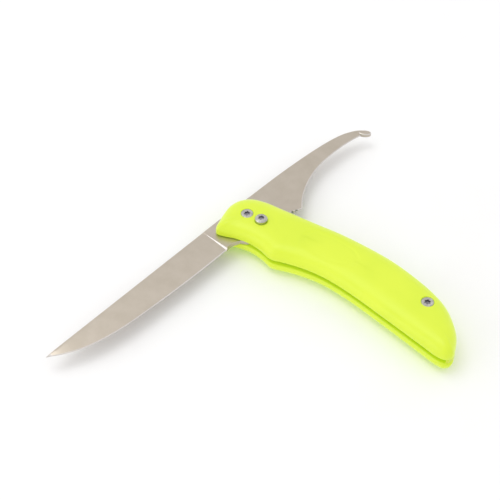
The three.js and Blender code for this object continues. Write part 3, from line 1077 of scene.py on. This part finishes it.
    def nub(self, mid: float) -> bmesh.types.BMesh:
        """Makes the blunt nub.

        Args:
            mid: the height of the middle of the steel.

        Returns:
            An oval pad with well-rounded rims.
        """
        bm = bmesh.new()
        height = 2 * self.half
        bmesh.ops.create_cone(
            bm, cap_ends=True, cap_tris=False, segments=56, radius1=1, radius2=1, depth=height
        )
        size = Matrix.Diagonal((*self.nub_half, 1, 1))
        place = Matrix.Translation((*self.nub_centre, mid)) @ Matrix.Rotation(self.nub_turn, 4, "Z")
        bmesh.ops.transform(bm, matrix=place @ size, verts=bm.verts)
        rims = [e for e in bm.edges if abs(e.verts[0].co.z - e.verts[1].co.z) < MERGE_DISTANCE]
        bmesh.ops.bevel(
            bm, geom=rims, offset=self.nub_round, offset_type="OFFSET", affect="EDGES", segments=4,
            profile=0.5, material=-1,
        )
        return bm

    def lock_cut(self) -> bmesh.types.BMesh:
        """Makes the tool that cuts the lock pin's way.

        Returns:
            The tool: a curved track about the pivot with a round lock hole at each end.
        """
        button = centre_of("lock_button")
        reach = button.length
        start = math.atan2(button.y, button.x)
        low, high = (start - math.radians(a) for a in reversed(self.swing))
        steps = 40
        arcs = []
        for radius in (reach + self.pin_track, reach - self.pin_track):
            arcs.append([
                Vector((math.cos(a), math.sin(a))) * radius
                for a in (mix(low, high, i / steps) for i in range(steps + 1))
            ])
        bottom, top = self.cut
        bm = plate(arcs[0] + arcs[1][::-1], bottom, top)
        for a in (low, high):
            hole = Vector((math.cos(a), math.sin(a))) * reach
            tool = rod(hole, self.lock_hole, bottom - OVERRUN, top + OVERRUN, 48)
            bm = combine(bm, tool, Join.WELD)
        return bm

    def build(self) -> bpy.types.Object:
        """Builds the steel and ties it to the blades' body.

        Returns:
            The steel.
        """
        low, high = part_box("double_blade")
        mid = (low.z + high.z) / 2 / MM
        stations = self.fillet_stations() + self.hub_stations() + self.gut_stations()
        bm = skin([station.section(mid) for station in stations])
        bm = combine(bm, self.nub(mid), Join.WELD)
        bm = combine(bm, self.lock_cut(), Join.CUT)
        bm = combine(bm, rod(Vector((0, 0)), self.bore, *self.cut), Join.CUT)
        for place in self.jimping:
            bm = combine(bm, rod(Vector(place), self.notch_radius, *self.cut, 20), Join.CUT)
        # The notch walls get painted shade; the honed slopes get a painted highlight.
        inlays = (Inlay(self.notch_painted_shade, self.in_notch), Inlay(self.honed_highlight_finish, self.on_bevel))
        return finish_piece(
            bm, "double_blade_steel", "blades", self.finish, "double_blade", inlays,
            ground=True,
        )

    def in_notch(self, face: bmesh.types.BMFace) -> bool:
        """Tells whether a face is on the wall of a jimping notch."""
        point, reach = face.calc_center_median().xy, self.notch_radius + 0.02
        return any((point - Vector(place)).length < reach for place in self.jimping)

    def on_bevel(self, face: bmesh.types.BMFace) -> bool:
        """Tells whether a face gets the honed finish with its painted highlight: a cutting bevel, the plunge
        line or the nub's rim.
        """
        steepest, flattest = self.honed_highlight_slope
        return steepest < abs(face.normal.z) < flattest and abs(face.calc_center_median().y) > self.honed_highlight_from


@dataclass(frozen=True)
class SixLobe:
    """Six-lobe driver recess."""

    radius: float = 1.4
    depth: float = 1.1
    waves: float = 0.13              # how deep the lobes are, as a share of the radius
    mouth: float = 0.12              # chamfer at the mouth
    skim: float = 0.02               # how far above the head the chamfer starts
    taper: float = 0.94              # of the radius, at the recess's floor
    cone: float = 0.3                # of the radius, at the end of the cone below the floor
    cone_deep: float = 0.35
    steps: int = 72                  # points round the lobes

    def tool(self, centre: Vector, top: float) -> bmesh.types.BMesh:
        """Makes the tool that cuts the recess.

        Args:
            centre: the head's plan centre.
            top: the height of the head's top.

        Returns:
            The tool, with a coned end.
        """
        wide, floor = self.radius + self.mouth, top - self.depth
        levels = [
            (wide, top + OVERRUN), (wide, top + self.skim), (self.radius, top - self.mouth),
            (self.radius * self.taper, floor), (self.radius * self.cone, floor - self.cone_deep),
        ]
        loops = []
        for size, height in levels:
            loop = []
            for i in range(self.steps):
                a = math.tau * i / self.steps
                r = size * (1 - self.waves + self.waves * math.cos(6 * a))
                loop.append(Vector((centre.x + r * math.cos(a), centre.y + r * math.sin(a), height)))
            loops.append(loop)
        return skin(loops)

    def inlay(self, finish: bpy.types.Material, centre: Vector, top: float) -> Inlay:
        """Gives the recess its own finish, which paints the shade in it.

        Args:
            finish: the material of its walls, painted shade.
            centre: the head's plan centre.
            top: the height of the head's top.

        Returns:
            The inlay, which leaves out the face of the head.
        """
        low, high, reach = top - self.depth - 0.5, top - 0.03, self.radius + self.mouth

        def covers(face: bmesh.types.BMFace) -> bool:
            """Tells whether a face is inside the recess."""
            p = face.calc_center_median()
            return low < p.z < high and (p.xy - centre).length < reach

        return Inlay(finish, covers)


@dataclass
class FlushScrew:
    """Turned screw with a flush head and a shank that stands in its barrel nut."""

    node: str
    finish: bpy.types.Material
    # painted shade on the walls of the driver recess
    recess_painted_shade: bpy.types.Material
    recess: SixLobe = SixLobe()
    head_thick: float = 2.2
    head_break: float = 0.1          # under the head
    shank: float = 1.3
    point: float = 0.25              # chamfer at the shank's end
    rim: float = 0.28                # rounding at the head's rim
    sides: int = 72

    def build(self) -> bpy.types.Object:
        """Builds the screw and ties it to the handle.

        Returns:
            The screw.
        """
        centre = centre_of(self.node)
        radius, top = radius_of(self.node), top_of(self.node)
        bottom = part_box(self.node)[0].z / MM
        under = top - self.head_thick
        corner = [
            (radius - self.rim * (1 - math.cos(a)), top - self.rim * (1 - math.sin(a)))
            for a in (math.radians(15 * i) for i in range(7))
        ]
        profile = [
            (0, bottom), (self.shank - self.point, bottom), (self.shank, bottom + self.point),
            (self.shank, under), (radius - self.head_break, under), (radius, under + self.head_break),
            *corner, (0, top),
        ]
        bm = combine(turned(centre, profile, self.sides), self.recess.tool(centre, top), Join.CUT)
        inlays = (self.recess.inlay(self.recess_painted_shade, centre, top),)
        name = f"{self.node}_turned"
        return finish_piece(bm, name, "handle", self.finish, self.node, inlays)


@dataclass
class LockButton:
    """Turned cap of the lock button, proud of the scale, with a blind socket for its pin."""

    finish: bpy.types.Material
    # painted shade on the walls of the driver recess
    recess_painted_shade: bpy.types.Material
    recess: SixLobe = SixLobe()
    rim: float = 0.6                 # rounding at the cap's rim
    foot: float = 0.15               # chamfer at its foot
    socket: float = 1.6
    socket_deep: float = 2.1
    sides: int = 80

    def build(self) -> bpy.types.Object:
        """Builds the cap and ties it to the button's body.

        Returns:
            The cap.
        """
        centre = centre_of("lock_button")
        radius, top = radius_of("lock_button"), top_of("lock_button")
        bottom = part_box("lock_button")[0].z / MM
        roof = bottom + self.socket_deep
        profile = [
            (0, roof), (self.socket, roof), (self.socket, bottom),
            (radius - self.foot, bottom), (radius, bottom + self.foot), (radius, top - self.rim),
            (radius - 0.08, top - self.rim + 0.12), (radius - self.rim + 0.1, top - 0.08),
            (radius - self.rim - 0.05, top), (0, top),
        ]
        bm = combine(turned(centre, profile, self.sides), self.recess.tool(centre, top), Join.CUT)
        inlays = (self.recess.inlay(self.recess_painted_shade, centre, top),)
        name = "lock_button_cap"
        return finish_piece(bm, name, "button", self.finish, "lock_button", inlays)


@dataclass
class CoilSpring:
    """Compression spring under the lock pin, with closed ends."""

    finish: bpy.types.Material
    radius: float = 1.9
    wire: float = 0.21               # radius of the wire
    turns: float = 3.5
    closed_gap: float = 0.02         # between the wires of a closed end turn
    sides: int = 10
    steps: int = 112
    travel: float = 1.4              # how far the button presses it down

    def climb(self, turn: float, room: float) -> float:
        """Gives how far the wire has climbed after some turns.

        Args:
            turn: how many turns it has made.
            room: how far it climbs in all.

        Returns:
            The climb. The first and the last turn are closed, and climb by little more than the wire.
        """
        closed = 2 * self.wire + self.closed_gap
        free = self.turns - 2
        pitch = (room - 2 * closed) / free
        ends = min(turn, 1.0) + max(turn - 1 - free, 0.0)
        return closed * ends + pitch * min(max(turn - 1, 0.0), free)

    def build(self) -> bpy.types.Object:
        """Builds the spring and ties it to the handle.

        Returns:
            The spring.
        """
        low, high = (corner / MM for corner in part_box("lock_spring"))
        centre = centre_of("lock_spring")
        loops = []
        for i in range(self.steps + 1):
            turn = self.turns * i / self.steps
            a = math.tau * turn
            height = low.z + self.wire + self.climb(turn, high.z - low.z - 2 * self.wire)
            out = Vector((math.cos(a), math.sin(a), 0))
            heart = centre.to_3d() + out * self.radius + Vector((0, 0, height))
            loops.append([
                heart + (out * math.cos(b) + Vector((0, 0, math.sin(b)))) * self.wire
                for b in (math.tau * k / self.sides for k in range(self.sides))
            ])
        name = "lock_spring_coil"
        piece = finish_piece(skin(loops), name, "handle", self.finish, "lock_spring")
        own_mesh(piece)
        return piece


@dataclass
class InnerWorks:
    """The pieces whose CAD shape already is the real one, and which only need their finish."""

    finishes: dict[str, bpy.types.Material]

    def dress(self) -> None:
        """Puts each finish in the material slots of its CAD node."""
        for name, finish in self.finishes.items():
            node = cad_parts[name]
            for slot in node.material_slots:
                slot.material = finish
            LOG.info("%s: CAD shape kept, finish %s", name, finish.name)


# ---- floor, light and camera ----


@dataclass
class Studio:
    """Pale floor, soft light from above and the left, and the camera."""

    target: Vector = Vector((11.675, -10.453, 8.0)) * MM
    azimuth: float = math.radians(43.32)
    elevation: float = math.radians(47)
    distance: float = 0.6
    lens: float = 95.47
    paper: tuple[str, str] = ("#f8f7f7", "#fafafa")
    paper_cloud_mm: float = 60.0
    sky: float = 0.92                # strength of the light tent
    floor_half: float = 3.0
    floor_drop: float = 0.02 * MM    # keeps the floor clear of the face that rests on it

    def eye(self) -> Vector:
        """Gives the direction from the target to the camera.

        Returns:
            The unit vector.
        """
        level = math.cos(self.elevation)
        side, front = math.sin(self.azimuth) * level, -math.cos(self.azimuth) * level
        return Vector((side, front, math.sin(self.elevation)))

    def camera(self) -> None:
        """Places the camera."""
        data = bpy.data.cameras.new("camera")
        data.lens = self.lens
        data.sensor_width = 36
        data.clip_start = 0.02
        camera = new_object("camera", data)
        camera.location = self.target + self.eye() * self.distance
        camera.rotation_euler = self.eye().to_track_quat("Z", "Y").to_euler()
        bpy.context.scene.camera = camera

    def floor(self) -> None:
        """Lays the floor, a white sheet of paper with a faint unevenness."""
        bm = bmesh.new()
        bmesh.ops.create_grid(bm, x_segments=1, y_segments=1, size=self.floor_half)
        mesh = to_mesh(bm, "floor")
        made = empty_material("floor_white_paper")
        tree = made.node_tree
        place = add_node(tree, "ShaderNodeTexCoord").outputs["Object"]
        cloud = add_node(
            tree, "ShaderNodeTexNoise", {"Scale": 1 / (self.paper_cloud_mm * MM), "Detail": 3.0},
            {"Vector": place},
        )
        tint = add_node(tree, "ShaderNodeValToRGB", links={"Fac": cloud.outputs["Fac"]})
        set_ramp(tint, [(0.35, self.paper[0]), (0.65, self.paper[1])])
        shader = add_node(
            tree, "ShaderNodeBsdfPrincipled", {"Roughness": 0.8, "Specular IOR Level": 0.2},
            {"Base Color": tint.outputs["Color"]},
        )
        add_node(tree, "ShaderNodeOutputMaterial", links={"Surface": shader.outputs["BSDF"]})
        mesh.materials.append(made)
        floor = new_object("floor", mesh)
        floor.location.z = -self.floor_drop

    def softbox(self, name: str, place: Vector, size: float, power: float) -> None:
        """Hangs a square softbox that faces the knife.

        Args:
            name: the light's name.
            place: where it hangs, seen from the camera: right, back and up, in metres.
            size: its side in metres.
            power: its power in watts.
        """
        data = bpy.data.lights.new(name, "AREA")
        data.shape = "SQUARE"
        data.size = size
        data.energy = power
        lamp = new_object(name, data)
        right = Vector((math.cos(self.azimuth), math.sin(self.azimuth), 0))
        back = Vector((-math.sin(self.azimuth), math.cos(self.azimuth), 0))
        way = right * place.x + back * place.y + Vector((0, 0, place.z))
        lamp.location = self.target + way
        lamp.rotation_euler = way.to_track_quat("Z", "Y").to_euler()

    def world(self) -> None:
        """Surrounds the knife with the even white of a light tent."""
        world = bpy.data.worlds.new("tent")
        world.use_nodes = True
        background = world.node_tree.nodes["Background"]
        background.inputs["Color"].default_value = (1.0, 1.0, 1.0, 1.0)
        background.inputs["Strength"].default_value = self.sky
        bpy.context.scene.world = world

    def build(self) -> None:
        """Sets up the floor, the light and the camera."""
        self.camera()
        self.floor()
        self.world()
        self.softbox("softbox_above", Vector((-0.28, 0.12, 0.98)), 0.6, 1.7)
        self.softbox("softbox_left", Vector((-0.9, -0.35, 0.3)), 0.8, 1.6)
        bpy.context.scene.view_settings.view_transform = "Standard"


def main() -> None:
    """Builds the knife's pieces in order and sets up the studio."""
    logging.basicConfig(level=logging.INFO, format="%(message)s")
    Studio().build()
    lime, filler = LIME_SCALE.material(), LIME_FILLER.material()
    screw, liner = SCREW_STEEL.material(), LINER_STEEL.material()
    # The matt grey of the cut walls is painted shade for the notches and the recesses.
    bronze, painted_shade = WASHER_BRONZE.material(), PAINTED_SHADE_STEEL.material()
    MouldedScale(Side.UPPER, HandleForm(), lime).build()
    MouldedScale(Side.LOWER, HandleForm(edge_break=1.3), lime).build()
    DoubleBlade(BLADE_STEEL.material(), painted_shade, HONED_HIGHLIGHT_STEEL.material()).build()
    for node in ("pivot_screw", "rear_screw"):
        FlushScrew(node, screw, painted_shade).build()
    LockButton(BUTTON_STEEL.material(), painted_shade).build()
    CoilSpring(SPRING_WIRE.material()).build()
    InnerWorks({
        "butt_spacer": filler, "spacer_dowel": screw, "pivot_barrel": screw, "rear_barrel": screw,
        "upper_liner": liner, "lower_liner": liner, "lock_pin": screw, "spring_seat": liner,
        "upper_washer": bronze, "lower_washer": bronze,
    }).dress()


if __name__ == "__main__":
    main()
